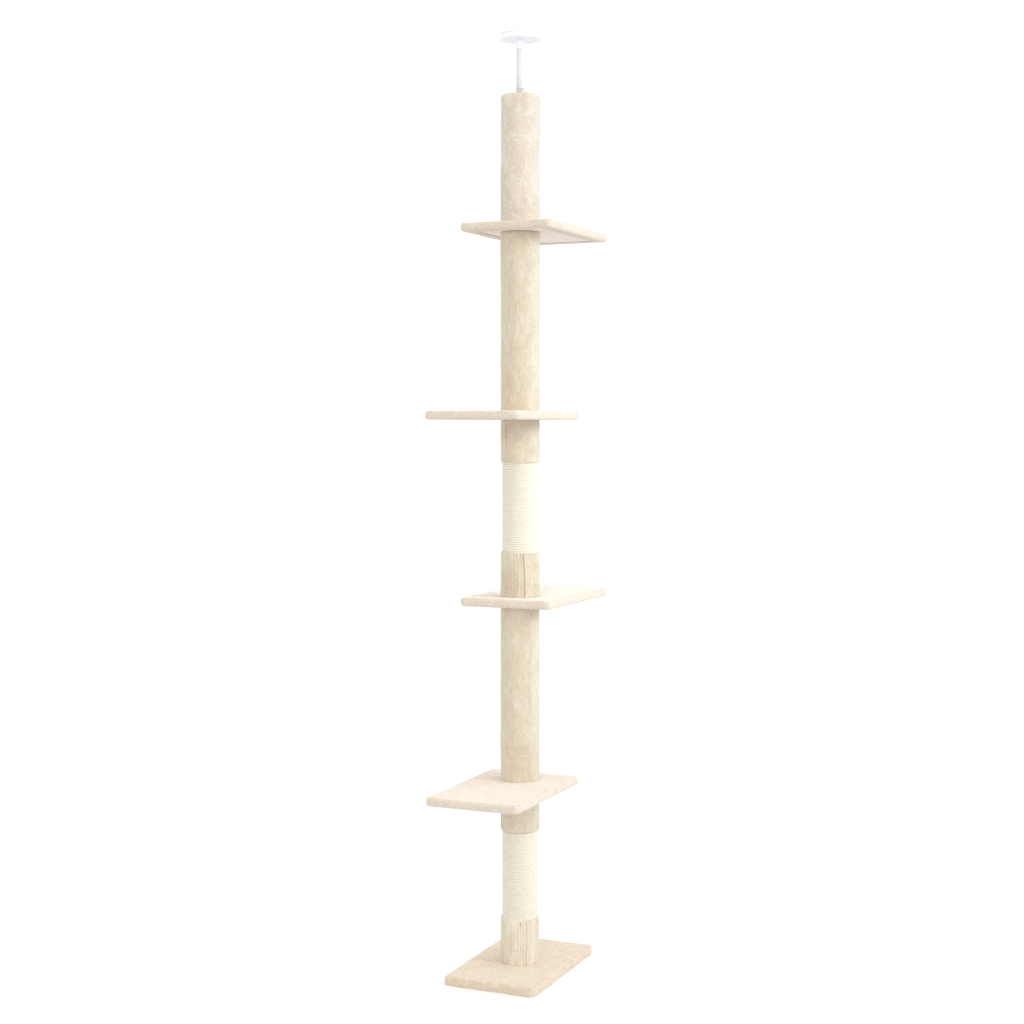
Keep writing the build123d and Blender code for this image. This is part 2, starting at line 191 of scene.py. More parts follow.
def layered(points, layers, seed):
    """Sum of noises, each given as (scale, amplitude)."""
    total = np.zeros(len(points))
    for n, (scale, amplitude) in enumerate(layers):
        total += amplitude * noise(points, scale, seed + 17 * n)
    return total


def smooth_step(x, low, high):
    """0 below low, 1 above high, and a smooth ramp between."""
    t = np.clip((x - low) / (high - low), 0.0, 1.0)
    return t * t * (3 - 2 * t)


# ---------------------------------------------------------------- meshes


def mesh_object(name, points, quads, uv=None):
    """New smooth object from arrays of points and of four-cornered faces."""
    mesh = bpy.data.meshes.new(name)
    mesh.vertices.add(len(points))
    mesh.vertices.foreach_set("co", np.asarray(points, np.float32).ravel())
    mesh.loops.add(4 * len(quads))
    mesh.loops.foreach_set("vertex_index", np.asarray(quads, np.int32).ravel())
    mesh.polygons.add(len(quads))
    mesh.polygons.foreach_set("loop_start", np.arange(len(quads), dtype=np.int32) * 4)
    mesh.polygons.foreach_set("use_smooth", np.ones(len(quads), bool))
    if uv is not None:
        layer = mesh.uv_layers.new(name="UVMap")
        layer.data.foreach_set("uv", np.asarray(uv, np.float32).ravel())
    mesh.update(calc_edges=True)
    piece = bpy.data.objects.new(name, mesh)
    bpy.context.scene.collection.objects.link(piece)
    return piece


def grid_quads(rows, columns, wrap_rows=False):
    """Faces of a grid whose columns close into a ring, and whose rows may close too."""
    r = np.arange(rows if wrap_rows else rows - 1)
    c = np.arange(columns)
    r, c = np.meshgrid(r, c, indexing="ij")
    r, c = r.ravel(), c.ravel()
    r_next, c_next = (r + 1) % rows, (c + 1) % columns
    corners = ((r, c), (r, c_next), (r_next, c_next), (r_next, c))
    return np.stack([row * columns + column for row, column in corners], axis=1)


def set_material(piece, material):
    """Gives every face of a piece one material."""
    piece.data.materials.clear()
    piece.data.materials.append(material)


# ---------------------------------------------------------------- materials


class Nodes:
    """A short way to write a procedural material."""

    def __init__(self, name):
        self.material = bpy.data.materials.new(name)
        self.material.use_nodes = True
        self.tree = self.material.node_tree
        self.shader = self.tree.nodes["Principled BSDF"]

    def add(self, kind, **values):
        """New node. Each value is one of its properties, or an input with _ for each space."""
        node = self.tree.nodes.new(kind)
        for key, value in values.items():
            if hasattr(node, key):
                setattr(node, key, value)
            else:
                node.inputs[key.replace("_", " ")].default_value = value
        return node

    def link(self, source, target):
        self.tree.links.new(source, target)

    def set(self, **values):
        """Values that are the same all over, set on the shader itself."""
        for key, value in values.items():
            self.shader.inputs[key.replace("_", " ")].default_value = value

    def place(self, scale=(1, 1, 1)):
        """Object coordinates in metres, stretched by scale."""
        coords = self.add("ShaderNodeTexCoord")
        mapping = self.add("ShaderNodeMapping", Scale=scale)
        self.link(coords.outputs["Object"], mapping.inputs["Vector"])
        return mapping.outputs["Vector"]

    def along_uv(self, scale):
        """UV coordinates, stretched by scale."""
        coords = self.add("ShaderNodeUVMap")
        mapping = self.add("ShaderNodeMapping", Scale=scale)
        self.link(coords.outputs["UV"], mapping.inputs["Vector"])
        return mapping.outputs["Vector"]

    def noise(self, vector, scale, detail=3.0, roughness=0.55, distortion=0.0):
        node = self.add(
            "ShaderNodeTexNoise",
            Scale=scale,
            Detail=detail,
            Roughness=roughness,
            Distortion=distortion,
        )
        self.link(vector, node.inputs["Vector"])
        return node.outputs["Fac"]

    def cells(self, vector, scale):
        """Voronoi texture node: its Distance and Color outputs are both in use."""
        node = self.add("ShaderNodeTexVoronoi", Scale=scale)
        self.link(vector, node.inputs["Vector"])
        return node

    def ramp(self, value, *stops):
        """Colour ramp over (position, (r, g, b)) stops."""
        node = self.add("ShaderNodeValToRGB")
        elements = node.color_ramp.elements
        while len(elements) < len(stops):
            elements.new(0.5)
        for element, (position, colour) in zip(elements, stops):
            element.position = position
            element.color = (*colour, 1.0)
        self.link(value, node.inputs["Fac"])
        return node.outputs["Color"]

    def mix(self, share, a, b, blend="MIX"):
        """Colour a with a share of colour b over it."""
        node = self.add("ShaderNodeMix", data_type="RGBA", blend_type=blend)
        node.inputs[0].default_value = share
        self.link(a, node.inputs[6])
        self.link(b, node.inputs[7])
        return node.outputs[2]

    def colour(self, value):
        self.link(value, self.shader.inputs["Base Color"])

    def roughness(self, value, low, high):
        """Roughness from low to high as value goes from 0 to 1."""
        node = self.add("ShaderNodeMapRange", To_Min=low, To_Max=high)
        self.link(value, node.inputs["Value"])
        self.link(node.outputs["Result"], self.shader.inputs["Roughness"])

    def bump(self, *layers):
        """Chain of bumps, each (height, strength, distance in metres)."""
        normal = None
        for height, strength, distance in layers:
            node = self.add("ShaderNodeBump", Strength=strength, Distance=distance)
            self.link(height, node.inputs["Height"])
            if normal is not None:
                self.link(normal, node.inputs["Normal"])
            normal = node.outputs["Normal"]
        self.link(normal, self.shader.inputs["Normal"])


def plush_material(name, tones, stretch, streak_stretch, sheen_tint, streak_share, clump_share):
    """Short cream pile: brushed light and dark patches, tufts, and single fibres in the bump, with
    painted shade darkening the gaps between tufts.
    """
    dark, middle, light = tones
    streak_dark = tuple(0.9 * c for c in dark)
    clump_dark = tuple(0.86 * c for c in dark)
    m = Nodes(name)
    where = m.place(stretch)
    patches = m.noise(where, 20.0, 4.0, 0.6, 1.6)
    streaks = m.noise(m.place(streak_stretch), 110.0, 3.0, 0.6, 0.5)
    clumps = m.noise(where, 250.0, 3.0, 0.75, 0.4)
    tufts = m.cells(where, 620.0).outputs["Distance"]
    fibres = m.noise(where, 2600.0, 2.0, 0.7)
    base = m.ramp(patches, (0.34, dark), (0.5, middle), (0.66, light))
    streaked = m.mix(streak_share, base, m.ramp(streaks, (0.36, streak_dark), (0.6, light)))
    clumped = m.ramp(clumps, (0.36, clump_dark), (0.62, light))
    speckled = m.mix(clump_share, streaked, clumped)
    # Painted shade: the colour darkens towards the edge of each tuft, in the gaps of the pile
    # where shade falls
    painted_shade_between_tufts = m.ramp(tufts, (0.0, (1.0, 1.0, 1.0)), (0.9, (0.84, 0.81, 0.77)))
    m.colour(m.mix(0.5, speckled, painted_shade_between_tufts, "MULTIPLY"))
    m.set(Roughness=0.92, Sheen_Weight=0.8, Sheen_Roughness=0.36, Sheen_Tint=(*sheen_tint, 1.0))
    m.set(Specular_IOR_Level=0.15)
    m.bump(
        (patches, 0.2, 3 * MM),
        (clumps, 0.35, 1.2 * MM),
        (tufts, 0.35, 0.8 * MM),
        (fibres, 0.5, 0.35 * MM),
    )
    return m.material


def sisal_material():
    """Twisted sisal: straw-coloured fibres that run along each strand."""
    m = Nodes("sisal_rope_fibre")
    along = m.along_uv((55.0, 40.0, 1.0))
    fibres = m.noise(along, 3.0, 5.0, 0.7)
    patches = m.noise(m.along_uv((9.0, 1.0, 1.0)), 2.0, 3.0)
    straw = m.ramp(
        fibres,
        (0.28, (0.66, 0.60, 0.45)),
        (0.5, (0.775, 0.73, 0.60)),
        (0.74, (0.83, 0.80, 0.69)),
    )
    faded = m.ramp(patches, (0.35, (0.71, 0.66, 0.53)), (0.65, (0.84, 0.81, 0.71)))
    m.colour(m.mix(0.35, straw, faded))
    m.set(Roughness=0.68, Sheen_Weight=0.25, Sheen_Roughness=0.5)
    m.set(Sheen_Tint=(1.0, 0.98, 0.92, 1.0), Specular_IOR_Level=0.3)
    m.bump((fibres, 0.6, 0.5 * MM))
    return m.material


def felt_material():
    """Thin pressed felt under the boards: matted short fibres, slightly pink."""
    m = Nodes("underside_felt")
    where = m.place()
    cloud = m.noise(where, 60.0, 5.0, 0.65, 1.2)
    fibre = m.noise(where, 1500.0, 4.0, 0.7, 2.0)
    base = m.ramp(cloud, (0.3, (0.78, 0.66, 0.58)), (0.7, (0.88, 0.77, 0.69)))
    matted = m.ramp(fibre, (0.4, (0.66, 0.54, 0.46)), (0.6, (0.95, 0.87, 0.80)))
    m.colour(m.mix(0.25, base, matted))
    m.set(Roughness=0.95, Sheen_Weight=0.2, Sheen_Roughness=0.5)
    m.bump((cloud, 0.2, 1 * MM), (fibre, 0.5, 0.3 * MM))
    return m.material


def chipboard_material():
    """Pressed wood chips of many browns."""
    m = Nodes("chipboard")
    where = m.place((1, 1, 1.8))
    chips = m.cells(where, 380.0).outputs["Color"]
    grain = m.noise(where, 900.0, 4.0, 0.7)
    base = m.ramp(
        chips, (0.15, (0.33, 0.22, 0.12)), (0.5, (0.55, 0.40, 0.24)), (0.9, (0.72, 0.57, 0.38))
    )
    grained = m.ramp(grain, (0.35, (0.30, 0.2, 0.1)), (0.7, (0.78, 0.64, 0.45)))
    m.colour(m.mix(0.3, base, grained))
    m.set(Roughness=0.85)
    m.bump((chips, 0.3, 0.5 * MM), (grain, 0.4, 0.3 * MM))
    return m.material


def cardboard_material():
    """Spiral-wound kraft board, with the joint of the winding as a thin line."""
    m = Nodes("wound_cardboard")
    wave = m.add("ShaderNodeTexWave", wave_type="BANDS", bands_direction="DIAGONAL", Scale=9.0)
    wave.inputs["Distortion"].default_value = 0.4
    m.link(m.place(), wave.inputs["Vector"])
    fibre = m.noise(m.place((1, 1, 0.3)), 700.0, 4.0, 0.7)
    base = m.ramp(fibre, (0.35, (0.42, 0.30, 0.18)), (0.7, (0.58, 0.44, 0.28)))
    joint = m.ramp(wave.outputs["Fac"], (0.0, (0.55, 0.5, 0.42)), (0.06, (1.0, 1.0, 1.0)))
    m.colour(m.mix(1.0, base, joint, "MULTIPLY"))
    m.set(Roughness=0.9)
    m.bump((fibre, 0.3, 0.3 * MM), (wave.outputs["Fac"], 0.2, 0.3 * MM))
    return m.material


def moulded_material(name, dark, light, low, high, grain_scale=900.0, coat=0.0):
    """Injection-moulded plastic or rubber: fine spark-eroded grain and faint flow marks."""
    m = Nodes(name)
    where = m.place()
    flow = m.noise(where, 45.0, 3.0, 0.5, 0.6)
    grain = m.noise(where, grain_scale, 3.0, 0.6)
    m.colour(m.ramp(flow, (0.3, dark), (0.7, light)))
    m.roughness(flow, low, high)
    m.set(Coat_Weight=coat, Coat_Roughness=0.2)
    m.bump((grain, 0.15, 0.1 * MM), (flow, 0.08, 1 * MM))
    return m.material


def metal_material(name, dark, light, low, high):
    """Plated steel: mottled plating, drawing lines and small dull spots."""
    m = Nodes(name)
    lines = m.noise(m.place((1, 1, 12)), 900.0, 3.0, 0.65)
    mottle = m.noise(m.place(), 160.0, 4.0, 0.6, 0.8)
    mottled, lined = (m.ramp(value, (0.3, dark), (0.7, light)) for value in (mottle, lines))
    m.colour(m.mix(0.4, mottled, lined))
    m.roughness(mottle, low, high)
    m.set(Metallic=1.0)
    m.bump((lines, 0.12, 0.08 * MM))
    return m.material


def coated_steel_material():
    """Off-white powder coat: orange peel and faint rub marks along the tube."""
    m = Nodes("powder_coat")
    peel = m.noise(m.place(), 1100.0, 2.0, 0.5)
    rubs = m.noise(m.place((1, 1, 0.08)), 500.0, 3.0, 0.6)
    m.colour(
        m.ramp(
            rubs,
            (0.25, (0.62, 0.60, 0.55)),
            (0.5, (0.74, 0.72, 0.68)),
            (0.8, (0.79, 0.775, 0.74)),
        )
    )
    m.roughness(rubs, 0.28, 0.42)
    m.set(Coat_Weight=0.2, Coat_Roughness=0.15)
    m.bump((peel, 0.12, 0.12 * MM), (rubs, 0.05, 0.1 * MM))
    return m.material


def backing_and_painted_shadow_material():
    """Knitted back of the plush, seen only where the hem is cut. Its dark brown is partly the
    glued backing and partly painted shadow of the gap along the cut edge.
    """
    m = Nodes("plush_backing_and_painted_shadow")
    knit = m.noise(m.place(), 700.0, 4.0, 0.65)
    # Dark brown: partly the backing's own colour, partly painted shadow along the hem's cut edge
    m.colour(m.ramp(knit, (0.3, (0.26, 0.17, 0.12)), (0.7, (0.46, 0.33, 0.25))))
    m.set(Roughness=0.95)
    m.bump((knit, 0.5, 0.4 * MM))
    return m.material


# Dark, middle and light tone of the plush. The sets are copies of one cream plush, each tuned to
# the light where it sits.
# The boards' set is paler and greyer as painted sheen of their tops and edges. The base's set is
# darker and warmer as painted shade.
# The top post's set is lighter as painted light. The ribbed sleeve's set is paler, partly its own
# colour and partly painted light near the floor.
# The light from the right is cool, and so is the sheen that it draws on the posts.
BOARD_TONES_WITH_PAINTED_SHEEN = ((0.655, 0.560, 0.450), (0.720, 0.625, 0.515), (0.785, 0.700, 0.600))
BASE_TONES_WITH_PAINTED_SHADE = ((0.640, 0.505, 0.370), (0.720, 0.592, 0.445), (0.805, 0.695, 0.565))
POST_TONES = ((0.595, 0.505, 0.370), (0.680, 0.590, 0.450), (0.760, 0.680, 0.550))
TOP_POST_TONES_WITH_PAINTED_LIGHT = ((0.620, 0.530, 0.420), (0.715, 0.622, 0.518), (0.810, 0.735, 0.655))
RIBBED_TONES_PARTLY_PAINTED_LIGHT = ((0.715, 0.622, 0.490), (0.825, 0.738, 0.605), (0.895, 0.830, 0.720))
WARM_SHEEN = (1.0, 0.92, 0.84)
COOL_SHEEN = (0.80, 0.90, 1.0)
EVEN = (1, 1, 1)
DOWN_POST = (1, 1, 0.6)

MATERIALS = {
    # Boards: paler, greyer tones as painted sheen of their tops and edges
    "plush": plush_material("cream_plush", BOARD_TONES_WITH_PAINTED_SHEEN, EVEN, EVEN, WARM_SHEEN, 0.2, 0.5),
    "sisal": sisal_material(),
    "chipboard": chipboard_material(),
    "felt": felt_material(),
    "cardboard": cardboard_material(),
    "plug_plastic": moulded_material(
        "black_plastic", (0.018, 0.018, 0.019), (0.035, 0.035, 0.036), 0.45, 0.6
    ),
    "black_rubber": moulded_material(
        "black_rubber", (0.012, 0.012, 0.012), (0.025, 0.025, 0.025), 0.7, 0.85
    ),
    "staple_steel": metal_material(
        "staple_steel", (0.34, 0.31, 0.26), (0.54, 0.50, 0.44), 0.3, 0.5
    ),
    "zinc_steel": metal_material("zinc_steel", (0.52, 0.50, 0.45), (0.70, 0.68, 0.62), 0.22, 0.4),
    "coated_steel": coated_steel_material(),
    "white_plastic": moulded_material(
        "white_plastic", (0.88, 0.88, 0.92), (0.91, 0.91, 0.945), 0.34, 0.44, coat=0.1
    ),
    "pad_foam": moulded_material(
        "pad_foam", (0.72, 0.72, 0.74), (0.80, 0.80, 0.82), 0.85, 0.95, 600.0
    ),
}
# The base's plush: darker, warmer tones as painted shade on the low base
base_plush = plush_material(
    "cream_plush_on_base_painted_shade", BASE_TONES_WITH_PAINTED_SHADE, EVEN, (1, 0.4, 1), WARM_SHEEN, 0.35, 0.45
)
post_plush = plush_material(
    "cream_plush_down_post", POST_TONES, DOWN_POST, (1, 1, 0.16), COOL_SHEEN, 0.2, 0.36
)
# The top post's plush: lighter tones as painted light high up the tree
top_post_plush_painted_light = plush_material(
    "cream_plush_top_post_painted_light", TOP_POST_TONES_WITH_PAINTED_LIGHT, DOWN_POST, (1, 1, 0.16), COOL_SHEEN, 0.2, 0.4
)
# The ribbed lower sleeve: paler tones, partly its own colour and partly painted light near the
# floor
ribbed_plush_partly_painted_light = plush_material(
    "cream_plush_ribbed_partly_painted_light", RIBBED_TONES_PARTLY_PAINTED_LIGHT, DOWN_POST, (1, 1, 0.1), COOL_SHEEN, 0.25, 0.3
)
# Backing for the cut edges, its dark brown partly painted shadow of the gap along the hem
plush_backing_and_painted_shadow = backing_and_painted_shadow_material()


def finish_cad_nodes():
    """Gives each CAD piece the material of its slot."""
    for entry in frame["record"]["subparts"]:
        set_material(frame["nodes"][entry["node"]], MATERIALS[entry["material_slot"]])


# ---------------------------------------------------------------- board covers


def outline(half_x, half_y, inset):
    """Rounded rectangle, inset from its full size.

    Gives its points, its outward normals, and how far round a corner each point is.
    """
    radius = max(BOARD_CORNER - inset, SHARPEST_CORNER)
    along_x, along_y = (
        round(2 * (half - BOARD_CORNER) / OUTLINE_STEP) for half in (half_x, half_y)
    )
    round_it = round(BOARD_CORNER * math.pi / 2 / OUTLINE_STEP * CORNER_DENSITY)
    cx, cy = (half - max(BOARD_CORNER, inset + radius) for half in (half_x, half_y))
    points, normals, corners = [], [], []
    # Each side: start, end, angle of its normal, count of points, centre of the next corner
    sides = (
        ((cx + radius, -cy), (cx + radius, cy), 0.0, along_y, (cx, cy)),
        ((cx, cy + radius), (-cx, cy + radius), 90.0, along_x, (-cx, cy)),
        ((-cx - radius, cy), (-cx - radius, -cy), 180.0, along_y, (-cx, -cy)),
        ((-cx, -cy - radius), (cx, -cy - radius), 270.0, along_x, (cx, -cy)),
    )
    for start, end, degrees, count, centre in sides:
        a = math.radians(degrees)
        for i in range(count):
            t = i / count
            points.append(tuple(p + (q - p) * t for p, q in zip(start, end)))
            normals.append((math.cos(a), math.sin(a)))
            corners.append(0.0)
        for i in range(round_it):
            b = a + math.pi / 2 * i / round_it
            points.append((centre[0] + radius * math.cos(b), centre[1] + radius * math.sin(b)))
            normals.append((math.cos(b), math.sin(b)))
            corners.append(math.sin(math.pi * i / round_it))
    return np.array(points), np.array(normals), np.array(corners)


def cover_rows(low, high, foot_edge):
    """Rows of points over the top from the stud hole, down the sides, along the hem and back.

    Gives the rows and their kinds, and the normal and corner of each point of a row.
    """
    centre = (low + high) / 2
    half_x, half_y = (high.x - low.x) / 2, (high.y - low.y) / 2
    shift = np.array([centre.x, centre.y])
    bottom, top = low.z, high.z
    rows, kinds = [], []

    def row(flat, z, kind):
        rows.append(np.column_stack([flat, np.full(len(flat), z)]))
        kinds.append(kind)

    def ring(inset, z, kind):
        row(outline(half_x, half_y, inset)[0] + shift, z, kind)

    rim, normals, corners = outline(half_x, half_y, BOARD_EDGE)
    rim = rim + shift
    angles = np.arctan2(rim[:, 1], rim[:, 0])
    hole = STUD_HOLE * np.column_stack([np.cos(angles), np.sin(angles)])
    for i in range(TOP_ROWS):
        row(hole + (rim - hole) * (i / TOP_ROWS) ** TOP_ROW_CROWDING, top, "top")
    for i in range(EDGE_ROWS + 1):
        a = math.pi / 2 * i / EDGE_ROWS
        ring(BOARD_EDGE * (1 - math.sin(a)), top - BOARD_EDGE * (1 - math.cos(a)), "side")
    straight = top - bottom - BOARD_EDGE - foot_edge
    for i in range(1, SIDE_ROWS):
        ring(0.0, top - BOARD_EDGE - straight * i / SIDE_ROWS, "side")
    for i in range(EDGE_ROWS + 1):
        a = math.pi / 2 * i / EDGE_ROWS
        ring(foot_edge * (1 - math.cos(a)), bottom + foot_edge * (1 - math.sin(a)), "under")
    hem = FOLD_WIDTH - 1 * MM - foot_edge
    for i in range(1, HEM_ROWS + 1):
        ring(foot_edge + hem * i / HEM_ROWS, bottom, "hem")
    ring(CUT_EDGE, bottom + 0.4 * PLUSH, "cut")
    ring(CUT_EDGE, bottom + INNER_SKIN, "inner")
    ring(BOARD_CORNER, bottom + INNER_SKIN, "inner")
    ring(INNER_SKIN, bottom + INNER_SKIN, "inner")
    ring(INNER_SKIN, top - INNER_SKIN, "inner")
    row(hole + (rim - hole) * 0.5, top - INNER_SKIN, "inner")
    row(hole, top - INNER_SKIN, "inner")
    return rows, kinds, normals, corners


def board_cover(name, body, seed, foot_edge, material):
    """Plush stretched over a board, its hem folded under."""
    low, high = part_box(name)
    rows, kinds, normals, corners = cover_rows(low, high, foot_edge)
    columns = len(corners)
    points = np.concatenate(rows)
    kind = np.repeat(np.array(kinds), columns)
    normal = np.tile(normals, (len(rows), 1))
    corner = np.tile(corners, len(rows))
    pile = layered(points, PILE, seed)
    lumps = layered(points, LUMPS, seed + 3)

    # The top is pressed flat under the post and swells a little beside it
    on_top = kind == "top"
    from_axis = np.hypot(points[:, 0], points[:, 1])
    beside_post = np.exp(-(((from_axis - SLEEVE_RADIUS) / (3 * MM)) ** 2))
    under_post = 1 - smooth_step(from_axis, SLEEVE_RADIUS - 8 * MM, SLEEVE_RADIUS - 2 * MM)
    rise = (pile + lumps) * (1 - under_post) + 1.0 * MM * beside_post - 0.3 * MM
    points[on_top, 2] += rise[on_top]

    # The sides pucker, most of all round the corners
    side = (kind == "side") | (kind == "under")
    pucker = layered(points * [1, 1, 0.25], PUCKERS, seed + 5)
    gather = corner * noise(points * [1, 1, 0.3], 5 * MM, seed + 7) * 0.9 * MM
    out = 1.5 * pile + pucker + gather - 0.3 * MM + 0.5 * MM * corner
    points[side, :2] += normal[side] * out[side, None]
    drop = layered(points, EDGE_WAVES, seed + 9)
    upright = kind == "side"
    points[upright, 2] += drop[upright] - 0.2 * MM

    # The hem sags into pleats round the corners, and its cut edge frays
    hem = (kind == "hem") | (kind == "cut")
    pleats = corner * np.abs(noise(points, 6 * MM, seed + 11)) * 0.8 * MM
    sag = pile * 0.6 + 0.25 * MM * noise(points, 30 * MM, seed + 13) + 0.3 * MM - pleats
    points[hem, 2] += np.maximum(sag, 0.0)[hem]
    fray = layered(points, FRAY, seed + 15)
    cut = kind == "cut"
    points[cut, :2] += normal[cut] * fray[cut, None]

    outside = kind != "inner"
    points[outside, 2] = np.maximum(points[outside, 2], low.z)
    quads = grid_quads(len(rows), columns, wrap_rows=True)
    piece = mesh_object(f"{name}_fabric", points, quads)
    set_material(piece, material)
    # The cut edge and the inner faces take the dark backing, whose brown is partly painted shadow
    # of the gap along the hem's cut edge
    piece.data.materials.append(plush_backing_and_painted_shadow)
    backing = np.isin(kind, ["cut", "inner"])
    piece.data.polygons.foreach_set("material_index", backing.astype(np.int32))
    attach(piece, body)
    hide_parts(name)


# ---------------------------------------------------------------- post sleeves


def sleeve_profile(bottom, top, upper_rim):
    """(radius, height) from the foot inside, round the outside, to the top inside."""
    profile = [(TUBE_RADIUS, bottom)]
    for t in (0.35, 0.7):
        profile.append((TUBE_RADIUS + (SLEEVE_RADIUS - SLEEVE_RIM - TUBE_RADIUS) * t, bottom))
    for i in range(LOWER_RIM_ROWS + 1):
        a = math.pi / 2 * i / LOWER_RIM_ROWS
        radius = SLEEVE_RADIUS - SLEEVE_RIM * (1 - math.sin(a))
        profile.append((radius, bottom + SLEEVE_RIM * (1 - math.cos(a))))
    straight = top - upper_rim - bottom - SLEEVE_RIM
    rows = int(straight / SLEEVE_ROW)
    for i in range(1, rows):
        profile.append((SLEEVE_RADIUS, bottom + SLEEVE_RIM + straight * i / rows))
    for i in range(UPPER_RIM_ROWS + 1):
        a = math.pi / 2 * i / UPPER_RIM_ROWS
        radius = SLEEVE_RADIUS - upper_rim * (1 - math.cos(a))
        profile.append((radius, top - upper_rim * (1 - math.sin(a))))
    if SLEEVE_RADIUS - upper_rim > TUBE_RADIUS + MM:
        profile.append(((SLEEVE_RADIUS - upper_rim + TUBE_RADIUS) / 2, top))
    profile.append((TUBE_RADIUS, top))
    return np.array(profile)


def arc_from(angle, centre):
    """Signed distance along the sleeve's surface from the angle centre."""
    return (np.mod(angle - centre + math.pi, TAU) - math.pi) * SLEEVE_RADIUS


def post_sleeve(name, seed, upper_rim, material, staples=()):
    """Plush sleeve round a post: lumpy pile, brushed ribs, a closing seam, and staple dimples.

    staples holds the (angle, height) of each.
    """
    seam_angle, seam_depth, seam_lips = SEAMS[name]
    ribs = RIBS.get(name, 0.0)
    low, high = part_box(name)
    bottom, top = low.z, high.z
    profile = sleeve_profile(bottom, top, upper_rim)
    angles = TAU * np.arange(SLEEVE_AROUND) / SLEEVE_AROUND
    radius, angle = np.meshgrid(profile[:, 0], angles, indexing="ij")
    height = np.repeat(profile[:, 1], SLEEVE_AROUND)
    radius, angle = radius.ravel(), angle.ravel()
    points = np.column_stack([radius * np.cos(angle), radius * np.sin(angle), height])

    out = layered(points * [1, 1, 0.7], SLEEVE_LUMPS, seed)
    across = arc_from(angle, seam_angle) + 2.2 * MM * noise(points * [0, 0, 1], 38 * MM, seed + 21)

    # Narrow wavy ribs in patches, away from the seam, and wider folds at the foot
    ribbed = smooth_step(noise(points * [1, 1, 0.35], 30 * MM, seed + 31), -0.8, 0.1)
    ribbed *= 1 - np.exp(-((across / (7 * MM)) ** 4))
    waver = 1.4 * noise(points * [0.4, 0.4, 1], 45 * MM, seed + 37)
    out -= ribs * (0.5 + 0.5 * np.cos(angle * RIBS_ROUND + waver)) ** 5 * ribbed
    foot = np.exp(-np.maximum(height - bottom, 0.0) / (22 * MM))
    out += 0.5 * ribs * foot * (0.4 + np.cos(angle * FOLDS_ROUND + seed))

    # The seam's groove and its two lips
    out -= seam_depth * np.exp(-((across / (1.2 * MM)) ** 2))
    out += seam_lips * np.exp(-(((np.abs(across) - 3.4 * MM) / (1.9 * MM)) ** 2))

    for staple_angle, staple_height in staples:
        beside = arc_from(angle, staple_angle) / (2.2 * MM)
        past_end = np.maximum(np.abs(height - staple_height) - STAPLE_HALF_LENGTH, 0.0)
        out -= STAPLE_DIMPLE * np.exp(-(beside**2) - (past_end / (2.5 * MM)) ** 2)

    # Only the outer layer is soft
    out = (out - 0.35 * MM) * smooth_step(radius, TUBE_RADIUS + MM, TUBE_RADIUS + 6 * MM)
    points[:, 0] += out * np.cos(angle)
    points[:, 1] += out * np.sin(angle)

    quads = grid_quads(len(profile), SLEEVE_AROUND, wrap_rows=True)
    piece = mesh_object(f"{name}_fabric", points, quads)
    set_material(piece, material)
    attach(piece, "root")
    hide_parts(name)


# ---------------------------------------------------------------- sisal windings


def strand_section():
    """Round a rope of three strands: (angle, share of the full radius) samples."""
    strand = 1 / (1 + 2 / math.sqrt(3))
    reach = strand * 2 / math.sqrt(3)
    samples = []
    for lobe in range(ROPE_STRANDS):
        for k in range(STRAND_POINTS):
            a = (k / STRAND_POINTS - 0.5) * TAU / ROPE_STRANDS
            inside = max(strand**2 - (reach * math.sin(a)) ** 2, 0.0)
            r = reach * math.cos(a) + math.sqrt(inside)
            samples.append((lobe * TAU / ROPE_STRANDS + a, max(r, STRAND_VALLEY)))
    return np.array(samples)


def sisal_winding(name, seed):
    """One long rope wound tight round the post, its ends tucked under the plush."""
    low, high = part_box(name)
    turns = round((high.z - low.z) / ROPE_DIAMETER) - 1 + 2 * ROPE_TUCKED_TURNS
    axis_radius = high.x - ROPE_PRESSED[0] / 2
    length = turns * math.hypot(TAU * axis_radius, ROPE_DIAMETER)
    steps = int(length / ROPE_TWIST * ROPE_STEPS_PER_TWIST)
    t = np.linspace(0.0, 1.0, steps + 1)
    angle = seed * 1.3 + t * turns * TAU
    height = low.z + (0.5 - ROPE_TUCKED_TURNS + t * turns) * ROPE_DIAMETER
    path = np.column_stack([axis_radius * np.cos(angle), axis_radius * np.sin(angle), height])
    uneven = layered(path, ROPE_UNEVEN, seed)
    wander = layered(path, ROPE_WANDER, seed + 5)
    section = strand_section()
    twist = t * length / ROPE_TWIST * TAU
    around = section[None, :, 0] + twist[:, None]
    thick = section[None, :, 1] * (1 + 0.02 * noise(path, 9 * MM, seed + 9))[:, None]
    outward = np.column_stack([np.cos(angle), np.sin(angle), np.zeros(steps + 1)])
    up = np.array([0.0, 0.0, 1.0])
    centre = path + outward * (uneven - 0.2 * MM)[:, None] + up * wander[:, None]
    points = (
        centre[:, None, :]
        + outward[:, None, :] * (thick * ROPE_PRESSED[0] / 2 * np.cos(around))[..., None]
        + up * (thick * ROPE_PRESSED[1] / 2 * np.sin(around))[..., None]
    ).reshape(-1, 3)
    columns = len(section)
    quads = grid_quads(steps + 1, columns)
    r, c = np.divmod(np.arange(len(quads)), columns)
    run = t * length
    corners = ((r, c), (r, c + 1), (r + 1, c + 1), (r + 1, c))
    uv = np.stack([np.stack([run[row], column / columns], 1) for row, column in corners], axis=1)
    piece = mesh_object(f"{name}_winding", points, quads, uv)
    set_material(piece, MATERIALS["sisal"])
    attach(piece, "root")
    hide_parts(name)


# ---------------------------------------------------------------- threaded spindle


